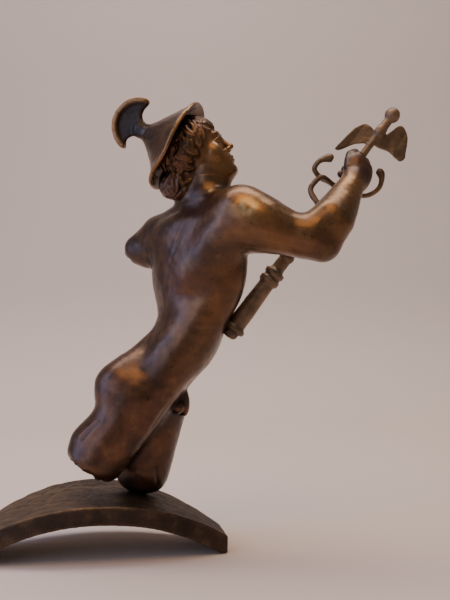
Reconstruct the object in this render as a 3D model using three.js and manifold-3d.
import * as THREE from 'three';
import { mergeVertices } from 'three/addons/utils/BufferGeometryUtils.js';
import Module from 'manifold-3d';

// A small cast bronze Mercury without its left arm and lower legs. It leans forward on its left
// thigh, which stands on an arched bronze slab, and holds up a winged staff with two snakes.
// Millimetres, +Z up, the slab's long side along X, the front of the body towards +X and +Y.

// Slab
const slabChord = 124;
const slabRise = 20.5;
const slabThickness = 8.9;
const slabEndWidth = 23;
const slabFrontBulge = 12;
const slabBackBulge = 33;
const slabFootDrop = 1.5;
const slabEndLean = 1.5;

// Figure, from the foot of the standing thigh to the top of the crest
const figureHeight = 200;
const footAlongSlab = 22.1;
const footAcrossSlab = 14.8;

// Head, from chin to crown at a figure height of 200, with the cap and crest that it carries
const headHeight = 38.5;
const brimRadius = 0.634 * headHeight;
const capHeight = 0.558 * headHeight;
const capWall = 1.7;
const napeLift = 0.1 * headHeight;
const crestRadius = 0.376 * headHeight;
const crestPlate = 2.6;
const crestRim = 4.6;
const crestRimWidth = 2.8;

// Staff, snakes and wings
const staffLength = 143;
const columnRadius = 4.7;
const collarRadius = 5.2;
const footRingRadius = 6;
const shaftRadius = 2;
const topKnobRadius = 3.9;
const snakeRadius = 1.55;
const wingThickness = 2.2;

// The gap between pieces that touch
const clearance = 0.3;

const wasm = await Module();
wasm.setup();

// A closed three.js geometry as a solid, and back again
function solidOf(geometry) {
  const bare = geometry.clone();
  bare.deleteAttribute('normal');
  bare.deleteAttribute('uv');
  const welded = mergeVertices(bare, 1e-4);
  return new wasm.Manifold(new wasm.Mesh({
    numProp: 3,
    vertProperties: new Float32Array(welded.attributes.position.array),
    triVerts: new Uint32Array(welded.index.array),
  }));
}

function geometryOf(solid) {
  const mesh = solid.getMesh();
  const geometry = new THREE.BufferGeometry();
  geometry.setAttribute('position', new THREE.BufferAttribute(mesh.vertProperties, 3));
  geometry.setIndex(new THREE.BufferAttribute(mesh.triVerts, 1));
  geometry.computeVertexNormals();
  return geometry;
}

// Direction to the right-hand side of a body part that faces so many degrees round from +X
function rightOf(heading) {
  const turn = THREE.MathUtils.degToRad(heading);
  return new THREE.Vector3(Math.sin(turn), -Math.cos(turn), 0);
}

const point = ([x, y, z]) => new THREE.Vector3(x, y, z);

// A lump of clay gives the distance from a point to its surface, and the width over which it
// blends into the lumps before it.
function bone(from, to, fromRadius, toRadius, blend) {
  const start = point(from);
  const along = point(to).sub(start);
  const length = along.length();
  along.normalize();
  const slope = (fromRadius - toRadius) / length;
  const lean = Math.sqrt(1 - slope * slope);
  const distance = (p) => {
    const offset = p.clone().sub(start);
    const height = offset.dot(along);
    const aside = Math.sqrt(Math.max(offset.lengthSq() - height * height, 0));
    const climb = height * lean - aside * slope;
    if (climb <= 0) {
      return Math.hypot(aside, height) - fromRadius;
    }
    if (climb >= length * lean) {
      return Math.hypot(aside, height - length) - toRadius;
    }
    return aside * lean + height * slope - fromRadius;
  };
  return { blend, distance };
}

const ball = (centre, radius, blend) => ({
  blend,
  distance: (p) => p.distanceTo(point(centre)) - radius,
});

// An egg shape between two poles, wide towards one side and deep across it
function muscle(from, to, width, depth, side, blend) {
  const centre = point(from).add(point(to)).multiplyScalar(0.5);
  const axis = point(to).sub(point(from));
  const half = axis.length() / 2;
  axis.normalize();
  const lateral = side.clone().addScaledVector(axis, -side.dot(axis)).normalize();
  const sagittal = axis.clone().cross(lateral);
  return egg(centre, [lateral, sagittal, axis], [width, depth, half], blend);
}

function egg(centre, axes, radii, blend) {
  const distance = (p) => {
    const offset = p.clone().sub(centre);
    const shares = axes.map((axis, i) => offset.dot(axis) / radii[i]);
    const size = Math.hypot(...shares);
    const steepness = Math.hypot(...shares.map((share, i) => share / radii[i]));
    return size * (size - 1) / Math.max(steepness, 1e-9);
  };
  return { blend, distance };
}

const blendIn = (a, b, width) => {
  const overlap = Math.max(width - Math.abs(a - b), 0) / width;
  return Math.min(a, b) - overlap * overlap * width / 4;
};
const blendOut = (a, b, width) => -blendIn(-a, -b, width);

// A limb broken off square to a direction, with a softened edge
function brokenOff(lump, at, towards, softness) {
  const stop = point(at);
  const normal = point(towards).normalize();
  const distance = (p) => blendOut(lump.distance(p), p.clone().sub(stop).dot(normal), softness);
  return { blend: lump.blend, distance };
}

const hollowed = (lump) => ({ ...lump, hollow: true });

function skinOf(lumps) {
  return (p) => lumps.reduce((nearest, lump, i) => {
    const distance = lump.distance(p);
    if (i === 0) {
      return distance;
    }
    return lump.hollow
      ? blendOut(nearest, -distance, lump.blend)
      : blendIn(nearest, distance, lump.blend);
  }, 0);
}

// How far a ray runs inside the skin before it leaves it, up to a limit
function depthAlong(skin, origin, direction, limit) {
  const probe = (run) => skin(origin.clone().addScaledVector(direction, run));
  let inside = 0;
  let run = 0;
  let gap = probe(0);
  while (gap < 0 && run < limit) {
    inside = run;
    run += Math.max(-gap * 0.7, 0.25);
    gap = probe(run);
  }
  if (gap < 0) {
    return limit;
  }
  for (let i = 0; i < 24; i += 1) {
    const middle = (inside + run) / 2;
    if (probe(middle) < 0) {
      inside = middle;
    } else {
      run = middle;
    }
  }
  return Math.max(inside, 0.05);
}

// A capsule bent along a curve, each of its points set out by the given radius
function bentCapsule(curve, sides, rings, capRings, radiusAt) {
  const capsule = new THREE.CapsuleGeometry(1, 1, capRings, sides, rings);
  const { position, normal } = capsule.attributes;
  const frames = curve.computeFrenetFrames(rings, false);
  for (let i = 0; i < position.count; i += 1) {
    const share = THREE.MathUtils.clamp(position.getY(i) + 0.5, 0, 1);
    const ring = Math.round(share * rings);
    const onAxis = curve.getPointAt(ring / rings);
    const direction = new THREE.Vector3()
      .addScaledVector(frames.normals[ring], normal.getX(i))
      .addScaledVector(frames.tangents[ring], normal.getY(i))
      .addScaledVector(frames.binormals[ring], -normal.getZ(i))
      .normalize();
    onAxis.addScaledVector(direction, radiusAt(onAxis, direction, share));
    position.setXYZ(i, onAxis.x, onAxis.y, onAxis.z);
  }
  return capsule;
}

const curveThrough = (points) => new THREE.CatmullRomCurve3(points.map(point));

// The figure's clay, in millimetres at a figure height of 200, from the foot's middle
const modelHeight = 200;
const chest = rightOf(46);
const waist = rightOf(14);
const hips = rightOf(4);
const level = new THREE.Vector3(0, 0, 1);
const ahead = new THREE.Vector3(1, 0, 0);

const thighBreak = [[-25.6, -16.7, 16.2], [-0.53, 0.1, -0.842], 4];
const rightThigh = bone([-3.7, -16.8, 45.7], [-25.9, -16.9, 16.2], 14.6, 14, 8);
const hamstring = bone([-14.5, -17, 39.1], [-27.9, -16, 30.8], 5.7, 4.7, 5);
const leftThigh = bone([10.1, -0.3, 45.8], [-1.3, 0.2, -3], 14.7, 12.7, 6);
const body = [
  muscle([28.7, -13.6, 85], [29.5, -12.7, 141.2], 24.9, 18.7, chest, 3),
  muscle([4.5, 10.4, 128.8], [53.5, -39.2, 138.6], 11, 14, level, 8),
  muscle([31, -12.8, 114], [17, -10.2, 61.5], 15.5, 13.2, waist, 8),
  muscle([39.2, -13.1, 91.2], [16.9, -10.8, 58.1], 9.6, 9.8, waist, 6),
  muscle([21.6, -9.6, 92], [4, -7.8, 58], 14, 10.2, hips, 6),
  muscle([13.4, -10.6, 75.5], [3.4, -8.3, 48.4], 11.5, 16.2, hips, 8),
  muscle([-5, -16.2, 68.6], [-11.4, -16.3, 41.3], 12.4, 15.1, hips, 7),
  muscle([0, 3, 68.2], [-8.8, 4.7, 41.5], 12, 12.5, hips, 5),
  muscle([47, -32.9, 134.8], [24.2, -20.6, 64.5], 8, 9, chest, 8),
  muscle([13.4, 6.6, 129.1], [20.6, -4, 82.7], 8.2, 8, chest, 8),
  bone([29.2, -11.4, 150.3], [44.7, -34.6, 141.3], 8, 8, 7),
  bone([29.7, -11.5, 146.6], [12.6, 4.8, 134], 6.7, 7.4, 5),
  muscle([45.8, -9.2, 135], [44.2, -10, 117], 8.8, 6, chest, 2.5),
  muscle([34.6, 1.4, 135], [33.4, 0.6, 117], 8.8, 6, chest, 2.5),
  muscle([39.9, -33.2, 135.5], [33.3, -32, 116.3], 7, 5, chest, 8),
  bone([40, -33, 136], [27, -25, 113], 9.5, 9, 8),
  muscle([14.3, -4.6, 133.5], [13, -7.4, 117.2], 6.5, 5, chest, 5),
  bone([26.5, -23.5, 88], [7, -20, 57], 8.5, 11.5, 8),
  bone([6.5, -10, 79.1], [-4.6, -13, 64], 0.5, 7.9, 6),
  brokenOff(hamstring, ...thighBreak),
  brokenOff(rightThigh, ...thighBreak),
  leftThigh,
  muscle([21.6, -10, 53.5], [22, -10.5, 39.7], 3.4, 2.9, hips, 1.5),
  ball([18.4, -13.4, 44.6], 3.1, 1),
  ball([18.6, -6.6, 44.9], 3, 1),
  ball([46.4, -38.9, 140.2], 12.6, 8),
  muscle([30, -31, 124], [58, -46, 137], 8, 8.5, level, 7),
  bone([56.8, -41.3, 133.7], [81.8, -47.2, 124.7], 13.1, 7.2, 7),
  bone([76.9, -46.7, 129], [83.7, -47.1, 125.1], 10, 8.1, 5),
  bone([87.8, -47.4, 136.4], [101.4, -37.7, 155.9], 10.7, 5.9, 6),
  bone([11.5, 7.1, 131], [1.6, 14.8, 125.2], 9.6, 7.9, 6),
  bone([13.5, 5, 124.5], [6, 11, 122.3], 7.5, 7, 5),
  muscle([102, -35.8, 153], [106.2, -32.5, 171.8], 5.6, 4.6, ahead, 3),
  muscle([105, -34.4, 152.3], [111.2, -31.4, 165.7], 4, 5.5, ahead, 2),
  bone([29.6, -12.6, 137.2], [32.8, -13.8, 155.4], 9.5, 8.6, 5),
];
const bodySkin = skinOf(body);

// Each limb is cast as a capsule along its middle, swollen onto the shared skin, or onto its own
// where another limb lies close to it. Its reach is limited along the way, and a limb that grows
// out of another starts a little under the surface.
const trunk = {
  path: [[31, -13.4, 155], [28.8, -12.6, 141], [30, -13, 122], [25, -12, 98], [12, -11, 74],
    [2, -13.5, 55], [-10, -17, 36], [-20, -17, 25]],
  reach: [12, 24, 28, 28, 28, 30, 22, 20],
  sides: 24, rings: 28, capRings: 4,
};
const standingThigh = {
  path: [[7.5, -0.8, 48], [2, -0.2, 22], [-0.6, 0.2, 3]],
  reach: [15, 17, 17],
  sides: 16, rings: 7, capRings: 3, buriedRings: 2, skin: skinOf([leftThigh]),
};
const upperArm = {
  path: [[42, -36, 138], [60, -42.5, 134], [79, -46.6, 127]],
  reach: [17, 15, 11.5],
  sides: 16, rings: 9, capRings: 4, buriedRings: 1,
};
const forearm = {
  path: [[83, -47, 127.5], [92, -44.5, 141], [101, -37.6, 156]],
  reach: [13, 14, 9],
  sides: 16, rings: 8, capRings: 3, buriedRings: 0,
};
const leftStump = {
  path: [[13, 5, 132], [4, 13, 127.5]],
  reach: [12, 12],
  sides: 12, rings: 3, capRings: 4, buriedRings: 1,
};
const palm = {
  path: [[102.5, -35.4, 157], [105.4, -33.2, 168]],
  reach: [8, 9],
  sides: 12, rings: 4, capRings: 3, buriedRings: 0,
};
const sex = {
  path: [[21, -10, 52], [21.2, -10.3, 43.5]],
  reach: [6, 8],
  sides: 14, rings: 4, capRings: 3, buriedRings: 0,
};
const buriedShare = 0.86;

function limbGeometry({
  path, reach, sides, rings, capRings, buriedRings = 0, skin = bodySkin,
}) {
  const reachAt = (share) => {
    const place = share * (reach.length - 1);
    const before = Math.min(Math.floor(place), reach.length - 2);
    return THREE.MathUtils.lerp(reach[before], reach[before + 1], place - before);
  };
  const radiusAt = (origin, direction, share) => {
    const depth = depthAlong(skin, origin, direction, reachAt(share));
    return share * rings < buriedRings - 0.5 ? depth * buriedShare : depth;
  };
  return bentCapsule(curveThrough(path), sides, rings, capRings, radiusAt);
}

// The head, in its own frame of forward, left and up, in shares of its height from chin to crown
const headBase = point([35.6, -14.6, 154.6]);
const headTilt = THREE.MathUtils.degToRad(27);
const headTurn = THREE.MathUtils.degToRad(-20);
const headForward = new THREE.Vector3(
  Math.cos(headTilt) * Math.cos(headTurn),
  Math.cos(headTilt) * Math.sin(headTurn),
  Math.sin(headTilt),
);
const headLeft = new THREE.Vector3(-Math.sin(headTurn), Math.cos(headTurn), 0);
const headUp = headForward.clone().cross(headLeft);
const headAxes = [headForward, headLeft, headUp];

function inHead(forward, left, up) {
  return headBase.clone()
    .addScaledVector(headForward, forward * headHeight)
    .addScaledVector(headLeft, left * headHeight)
    .addScaledVector(headUp, up * headHeight);
}

const headEgg = (centre, radii, blend) => egg(
  inHead(...centre), headAxes, radii.map((radius) => radius * headHeight), blend,
);
const headBone = (from, to, fromRadius, toRadius, blend) => bone(
  inHead(...from).toArray(), inHead(...to).toArray(),
  fromRadius * headHeight, toRadius * headHeight, blend,
);
const bothSides = (make) => [make(-1), make(1)];

const eyeApart = 0.125;
const eyeUp = 0.49;
const head = [
  headEgg([-0.05, 0, 0.66], [0.41, 0.33, 0.34], 2),
  headEgg([0.1, 0, 0.4], [0.285, 0.255, 0.37], 4),
  headEgg([0.14, 0, 0.21], [0.225, 0.195, 0.155], 4),
  headBone([0.335, -0.03, 0.085], [0.335, 0.03, 0.085], 0.068, 0.068, 3),
  headBone([0.335, -0.13, 0.565], [0.335, 0.13, 0.565], 0.055, 0.055, 2),
  ...bothSides((s) => headEgg([0.25, s * 0.17, 0.36], [0.1, 0.09, 0.12], 3)),
  ...bothSides((s) => hollowed(
    headEgg([0.42, s * eyeApart, eyeUp], [0.055, 0.075, 0.04], 1.2),
  )),
  ...bothSides((s) => headEgg([0.3, s * eyeApart, eyeUp], [0.062, 0.062, 0.055], 0.4)),
  headBone([0.37, 0, 0.53], [0.45, 0, 0.36], 0.028, 0.04, 1.2),
  ...bothSides((s) => headBone([0.39, s * 0.045, 0.335], [0.42, s * 0.03, 0.34], 0.03, 0.03, 0.7)),
  headEgg([0.32, 0, 0.225], [0.085, 0.13, 0.1], 3),
  headEgg([0.39, 0, 0.222], [0.035, 0.08, 0.02], 0.5),
  headEgg([0.38, 0, 0.178], [0.035, 0.07, 0.022], 0.5),
  headEgg([-0.07, 0, 0.6], [0.4, 0.355, 0.37], 2),
  headEgg([-0.35, 0, 0.25], [0.235, 0.27, 0.23], 3),
];
const headSkin = skinOf(head);

function onHead(direction, sunk) {
  const middle = inHead(0.02, 0, 0.45);
  return middle.clone().addScaledVector(
    direction, depthAlong(headSkin, middle, direction, headHeight) - sunk,
  );
}

// The grid is drawn in towards the face, so that its small forms get more points
function headGeometry() {
  const grid = new THREE.SphereGeometry(1, 30, 21);
  const { position } = grid.attributes;
  for (let i = 0; i < position.count; i += 1) {
    const round = Math.atan2(position.getZ(i), position.getX(i));
    const crowded = round - 0.5 * Math.sin(round);
    const flat = Math.hypot(position.getX(i), position.getZ(i));
    const direction = new THREE.Vector3()
      .addScaledVector(headForward, flat * Math.cos(crowded))
      .addScaledVector(headLeft, -flat * Math.sin(crowded))
      .addScaledVector(headUp, position.getY(i))
      .normalize();
    const surface = onHead(direction, 0);
    position.setXYZ(i, surface.x, surface.y, surface.z);
  }
  return grid;
}

// Tufts of hair in two rows behind the hairline, from the forehead over the temple to the nape,
// given by their turn from straight ahead and their rise, in degrees
const tuftRows = [
  { start: [4, 57], middle: [102, 46], end: [154, -45], count: 10, radius: 0.092 },
  { start: [8, 70], middle: [120, 54], end: [176, -34], count: 9, radius: 0.1 },
];

function tuftGeometries() {
  const tufts = [];
  for (const { start, middle, end, count, radius } of tuftRows) {
    const row = new THREE.QuadraticBezierCurve(
      new THREE.Vector2(...start), new THREE.Vector2(...middle), new THREE.Vector2(...end),
    );
    for (const side of [-1, 1]) {
      for (let i = 0; i < count; i += 1) {
        const place = row.getPoint((i + (side > 0 ? 0.5 : 0)) / count);
        const turn = side * THREE.MathUtils.degToRad(place.x);
        const rise = THREE.MathUtils.degToRad(place.y);
        const direction = new THREE.Vector3()
          .addScaledVector(headForward, Math.cos(rise) * Math.cos(turn))
          .addScaledVector(headLeft, Math.cos(rise) * Math.sin(turn))
          .addScaledVector(headUp, Math.sin(rise));
        const size = radius * headHeight;
        const centre = onHead(direction, 0.45 * size);
        const tuft = new THREE.IcosahedronGeometry(size, 0);
        tuft.rotateX(i).rotateZ(2 * i);
        tufts.push(tuft.translate(centre.x, centre.y, centre.z));
      }
    }
  }
  return tufts;
}

// The cap: a cone whose brim flares out and turns down, hollow, pushed back on the head
const capAxis = new THREE.Vector3(-0.842, 0.317, 0.43).normalize();
const capAcross = new THREE.Vector3(0.369, -0.195, 0.866);
capAcross.addScaledVector(capAxis, -capAcross.dot(capAxis)).normalize();
const capNormal = capAxis.clone().cross(capAcross);
const brimCentre = inHead(-0.143, 0.004, 0.664);

function placeOnCap(geometry) {
  const frame = new THREE.Matrix4().makeBasis(capAcross, capAxis, capNormal.clone().negate());
  return geometry.applyMatrix4(frame.setPosition(brimCentre));
}

// The brim bends up at the nape, so that it stands off from the neck as a lobe
const lobeTurn = THREE.MathUtils.degToRad(175);
const lobeSpread = THREE.MathUtils.degToRad(80);

function brimLift(across, near) {
  const outward = (Math.hypot(across, near) / brimRadius - 0.6) / 0.4;
  const turn = Math.atan2(near, across);
  const away = Math.abs(Math.atan2(Math.sin(turn - lobeTurn), Math.cos(turn - lobeTurn)));
  const share = THREE.MathUtils.smoothstep(1 - away / lobeSpread, 0, 0.75);
  return napeLift * share * Math.max(outward, 0) ** 1.4;
}

function capGeometry() {
  const r = brimRadius;
  const h = capHeight;
  const profile = [
    [0, h + 1], [0.16 * r, h + 1], [0.2 * r, 0.88 * h], [0.37 * r, 0.68 * h],
    [0.54 * r, 0.5 * h], [0.69 * r, 0.34 * h], [0.82 * r, 0.2 * h], [0.93 * r, 0.09 * h],
    [0.99 * r, 0.045 * h], [r, 0],
    [0.98 * r, -0.04 * h], [0.92 * r, -0.01 * h], [0.8 * r, 0.2 * h - capWall],
    [0.66 * r, 0.34 * h - capWall], [0.2 * r, 0.45 * h], [0, 0.5 * h],
  ];
  const points = profile.map(([radius, height]) => new THREE.Vector2(radius, height));
  const cap = new THREE.LatheGeometry(points.reverse(), 28);
  const { position } = cap.attributes;
  for (let i = 0; i < position.count; i += 1) {
    position.setY(i, position.getY(i) + brimLift(position.getX(i), position.getZ(i)));
  }
  return placeOnCap(cap);
}

// The crest: a fan-shaped blade with a raised rim, on the tip of the cap
function crestGeometries() {
  const centreUp = capHeight + 2.7;
  const aside = 0.1 * crestRadius;
  const fanStart = THREE.MathUtils.degToRad(6);
  const fanEnd = THREE.MathUtils.degToRad(163);
  const neck = 4.2;
  const blade = new THREE.Shape();
  blade.moveTo(-neck, capHeight - 3);
  blade.lineTo(neck, capHeight - 3);
  blade.quadraticCurveTo(neck, centreUp - 1, aside + 0.5 * crestRadius, centreUp + 1.2);
  blade.quadraticCurveTo(
    aside + 0.7 * crestRadius, centreUp + 1, aside + 0.8 * crestRadius, centreUp - 0.5,
  );
  blade.absarc(aside, centreUp, crestRadius, fanStart, fanEnd, false);
  blade.quadraticCurveTo(
    aside - 0.6 * crestRadius, centreUp + 3.4, -neck, centreUp + 0.4,
  );
  blade.closePath();
  const rim = new THREE.Shape();
  rim.absarc(aside, centreUp, crestRadius, fanStart, fanEnd, false);
  rim.absarc(aside, centreUp, crestRadius - crestRimWidth, fanEnd, fanStart, true);
  rim.closePath();
  const slice = (shape, depth) => {
    const plate = new THREE.ExtrudeGeometry(shape, {
      depth, bevelEnabled: false, curveSegments: 12,
    });
    return placeOnCap(plate.translate(0, 0, -depth / 2));
  };
  return [slice(blade, crestPlate), slice(rim, crestRim)];
}

// The staff, which the right fist holds
const grow = figureHeight / modelHeight;
const staffFoot = point([42.1, -19.9, 80]);
const staffWay = point([125.6, -28.7, 192]).sub(staffFoot).normalize();
const staffNear = staffWay.clone().cross(level).normalize();
const staffRight = staffWay.clone().cross(staffNear).normalize();

const onStaff = (height) => staffFoot.clone().addScaledVector(staffWay, height);

function staffProfile(extra) {
  const l = staffLength;
  const beads = [
    [0, 0], [0.002 * l, 0.6 * columnRadius], [0.009 * l, 0.86 * columnRadius],
    [0.022 * l, 0.9 * columnRadius], [0.026 * l, 0.86 * footRingRadius],
    [0.033 * l, footRingRadius], [0.042 * l, footRingRadius],
    [0.048 * l, 0.86 * footRingRadius], [0.052 * l, columnRadius],
    [0.23 * l, 0.84 * columnRadius],
    [0.233 * l, 0.88 * collarRadius], [0.238 * l, collarRadius], [0.252 * l, collarRadius],
    [0.258 * l, 0.82 * collarRadius], [0.263 * l, 0.82 * collarRadius],
    [0.269 * l, collarRadius], [0.283 * l, collarRadius], [0.288 * l, 0.7 * collarRadius],
    [0.294 * l, 1.7 * shaftRadius], [0.336 * l, 1.62 * shaftRadius],
    [0.34 * l, 1.95 * shaftRadius], [0.35 * l, 2.05 * shaftRadius], [0.36 * l, 1.8 * shaftRadius],
    [0.367 * l, 1.25 * shaftRadius], [0.55 * l, 1.05 * shaftRadius],
    [0.878 * l, 0.94 * shaftRadius], [0.892 * l, 1.37 * shaftRadius],
    [0.909 * l, 1.47 * shaftRadius], [0.923 * l, 1.2 * shaftRadius],
    [0.95 * l, 1.1 * shaftRadius],
  ];
  const knobSteps = 7;
  const knobUp = l - topKnobRadius;
  for (let i = 2; i <= knobSteps; i += 1) {
    const turn = Math.PI * (i / knobSteps);
    beads.push([knobUp - topKnobRadius * Math.cos(turn), topKnobRadius * Math.sin(turn)]);
  }
  return beads.map(([up, radius], i) => {
    const last = i === 0 || i === beads.length - 1;
    return new THREE.Vector2(last ? 0 : radius + extra, up);
  });
}

function staffGeometry(extra) {
  const lathe = new THREE.LatheGeometry(staffProfile(extra), 11);
  const frame = new THREE.Matrix4().makeBasis(staffRight, staffWay, staffNear);
  return lathe.applyMatrix4(frame.setPosition(staffFoot.clone().multiplyScalar(grow)));
}

// A place beside the staff: up along it, out to its right as seen from behind, and towards there
function besideStaff([up, right, near]) {
  return staffFoot.clone().multiplyScalar(grow)
    .addScaledVector(staffWay, up * staffLength)
    .addScaledVector(staffRight, right)
    .addScaledVector(staffNear, near);
}

// Two snakes twist up the shaft, bow out to both sides, cross and end in facing heads
const twistTurns = 1.5;
const twistFrom = 0.455;
const twistTo = 0.55;

function snakeGeometry(side, bows) {
  const coil = [];
  const steps = 7;
  for (let i = 0; i <= steps; i += 1) {
    const share = i / steps;
    const turn = Math.PI * (2 * twistTurns * share + (side > 0 ? 0.5 : -0.5));
    const radius = shaftRadius + snakeRadius - 0.2;
    const up = THREE.MathUtils.lerp(twistFrom, twistTo, share);
    coil.push(besideStaff([up, radius * Math.cos(turn), radius * Math.sin(turn)]));
  }
  const curve = new THREE.CatmullRomCurve3([...coil, ...bows.map(besideStaff)]);
  const radiusAt = (origin, direction, share) => snakeRadius * Math.min(1, 0.6 + 3 * share)
    * (share > 0.93 ? 1.25 : 1);
  return bentCapsule(curve, 6, 28, 1, radiusAt);
}

// A wing is a bent leaf with its outline in millimetres up and out from its root on the shaft
const wingUp = 0.9;
const wingDroop = 0.006;

function wingGeometry(side, outline) {
  const rim = outline.map(([out, up]) => new THREE.Vector2(side * out, up));
  const leaf = new THREE.Shape();
  leaf.moveTo(0, rim[0].y);
  leaf.lineTo(rim[0].x, rim[0].y);
  leaf.splineThru(rim.slice(1));
  leaf.lineTo(0, rim[rim.length - 1].y);
  leaf.closePath();
  const plate = new THREE.ExtrudeGeometry(leaf, {
    depth: wingThickness, bevelEnabled: false, curveSegments: 4,
  });
  const { position } = plate.attributes;
  for (let i = 0; i < position.count; i += 1) {
    const out = position.getX(i);
    const near = position.getZ(i) - wingThickness / 2 - wingDroop * out * out;
    const up = wingUp + position.getY(i) / staffLength;
    const spot = besideStaff([up, out, near]);
    position.setXYZ(i, spot.x, spot.y, spot.z);
  }
  return plate;
}

// The fist: a thumb and four fingers that close round the shaft
const fingerRadius = 2.35;
const fingerHeights = [110.5, 107.1, 103.7, 100.4];

function fingerGeometry(height) {
  const bend = (shaftRadius + clearance) / grow + fingerRadius;
  const knuckles = [-60, -10, 40, 90, 125].map((degrees) => {
    const turn = THREE.MathUtils.degToRad(degrees);
    return onStaff(height)
      .addScaledVector(staffRight, bend * Math.cos(turn))
      .addScaledVector(staffNear, -bend * Math.sin(turn));
  });
  const curve = new THREE.CatmullRomCurve3(knuckles);
  const radiusAt = (origin, direction, share) => fingerRadius * (1 - 0.15 * share);
  return bentCapsule(curve, 6, 4, 1, radiusAt);
}

function thumbGeometry() {
  const curve = curveThrough([[100.4, -34.6, 163.5], [101.6, -32, 168.6], [105, -29.6, 171.6]]);
  return bentCapsule(curve, 7, 3, 2, () => 2.6);
}

// The slab: an arched plate, narrow at both ends, whose feet are flat
const halfChord = slabChord / 2;
const archRadius = (halfChord * halfChord + slabRise * slabRise) / (2 * slabRise);

const archCentreUp = slabRise - archRadius - slabFootDrop;
const archSpread = Math.asin(halfChord / archRadius);
const archWidth = slabEndWidth + 2 * (slabFrontBulge + slabBackBulge);

// The slab's side view between its top, raised by a gap, and an arc of the inner radius
function archPlate(gap, innerRadius) {
  const from = Math.PI / 2 + archSpread;
  const to = Math.PI / 2 - archSpread;
  const shape = new THREE.Shape();
  shape.absarc(0, archCentreUp, archRadius + slabThickness + gap, from, to, true);
  shape.absarc(0, archCentreUp, innerRadius, to, from, false);
  shape.closePath();
  const plate = new THREE.ExtrudeGeometry(shape, {
    depth: archWidth, bevelEnabled: false, curveSegments: 26,
  });
  return plate.rotateX(Math.PI / 2).translate(0, archWidth / 2, 0);
}

function slabSolid() {
  const span = halfChord + slabEndLean;
  const end = slabEndWidth / 2;
  const tall = slabRise + 2 * slabThickness;
  const plan = new THREE.Shape();
  plan.moveTo(-span, -end);
  plan.quadraticCurveTo(0, -end - 2 * slabFrontBulge, span, -end);
  plan.lineTo(span, end);
  plan.quadraticCurveTo(0, end + 2 * slabBackBulge, -span, end);
  plan.closePath();
  const column = new THREE.ExtrudeGeometry(plan, {
    depth: tall, bevelEnabled: false, curveSegments: 20,
  });
  return solidOf(archPlate(0, archRadius)).intersect(solidOf(column));
}

// The height of the slab's top under a place along it
function slabTop(along) {
  const outer = archRadius + slabThickness;
  return archCentreUp + Math.sqrt(outer * outer - along * along);
}

// The figure stands in the slab's frame, its foot trimmed to the slab with the clearance
const foot = new THREE.Vector3(footAlongSlab, footAcrossSlab, slabTop(footAlongSlab));

function figureSolid() {
  const castLimbs = [trunk, standingThigh, upperArm, forearm, leftStump, palm, sex];
  const pieces = [
    ...castLimbs.map(limbGeometry),
    headGeometry(),
    ...tuftGeometries(),
    capGeometry(),
    ...crestGeometries(),
    ...fingerHeights.map(fingerGeometry),
    thumbGeometry(),
  ];
  const grown = pieces.map((piece) => solidOf(piece.scale(grow, grow, grow)));
  const whole = grown.reduce((all, next) => all.add(next));
  const ground = solidOf(archPlate(clearance, archRadius / 2)
    .translate(-foot.x, -foot.y, -foot.z));
  return whole.subtract(solidOf(staffGeometry(clearance))).subtract(ground);
}

function caduceusSolid() {
  const leftWing = [[1, -9.5], [3, -9.6], [7, -13.4], [10.6, -19.4], [12.8, -20.7],
    [13.3, -18.9], [11.7, -8.4], [10.2, -3.6], [8, -0.7], [3.4, -1.1], [1, -2.4]];
  const rightWing = [[1, -7.4], [4.7, -6.8], [9.6, -4.8], [14.5, -5.6], [17.3, -5.6],
    [18.2, -3], [16.2, 0.5], [13.2, 6.3], [10, 9], [6.8, 9.1], [5.2, 6.1], [3.4, 1], [1, 0.6]];
  const rightBow = [[0.58, -9.6, 0], [0.613, -11.2, 0], [0.648, -9.4, -0.5], [0.655, -2, -3.6],
    [0.665, 5.5, -3.8], [0.686, 13, -1], [0.728, 16.4, 0], [0.762, 15.4, 0.6],
    [0.782, 12.6, 1], [0.78, 10.2, 1.2]];
  const leftBow = [[0.585, 7, -2], [0.62, 8.5, -3.5], [0.65, 4, -4.6], [0.655, -4, -4.4],
    [0.645, -10, -2], [0.652, -15.2, 0], [0.685, -15.7, 1], [0.712, -13, 1], [0.718, -10.6, 1]];
  const pieces = [
    staffGeometry(0),
    snakeGeometry(-1, rightBow),
    snakeGeometry(1, leftBow),
    wingGeometry(-1, leftWing),
    wingGeometry(1, rightWing),
  ];
  return pieces.map(solidOf).reduce((all, next) => all.add(next));
}

const bronze = (colour, roughness) => new THREE.MeshStandardMaterial({
  color: colour, roughness, metalness: 1,
});

function named(name, solid, material) {
  const mesh = new THREE.Mesh(geometryOf(solid), material);
  mesh.name = name;
  return mesh;
}

const standing = new THREE.Group();
standing.position.copy(foot);
standing.add(
  named('mercury_figure', figureSolid(), bronze(0x6f4c30, 0.4)),
  named('caduceus', caduceusSolid(), bronze(0x5b4331, 0.45)),
);
const group = new THREE.Group();
group.add(standing, named('base_slab', slabSolid(), bronze(0x57412f, 0.55)));

// The origin is the middle of the whole piece at its feet
group.updateMatrixWorld(true);
const extent = new THREE.Box3().setFromObject(group, true);
const middle = extent.getCenter(new THREE.Vector3());
group.position.set(-middle.x, -middle.y, -extent.min.z);

export default group;
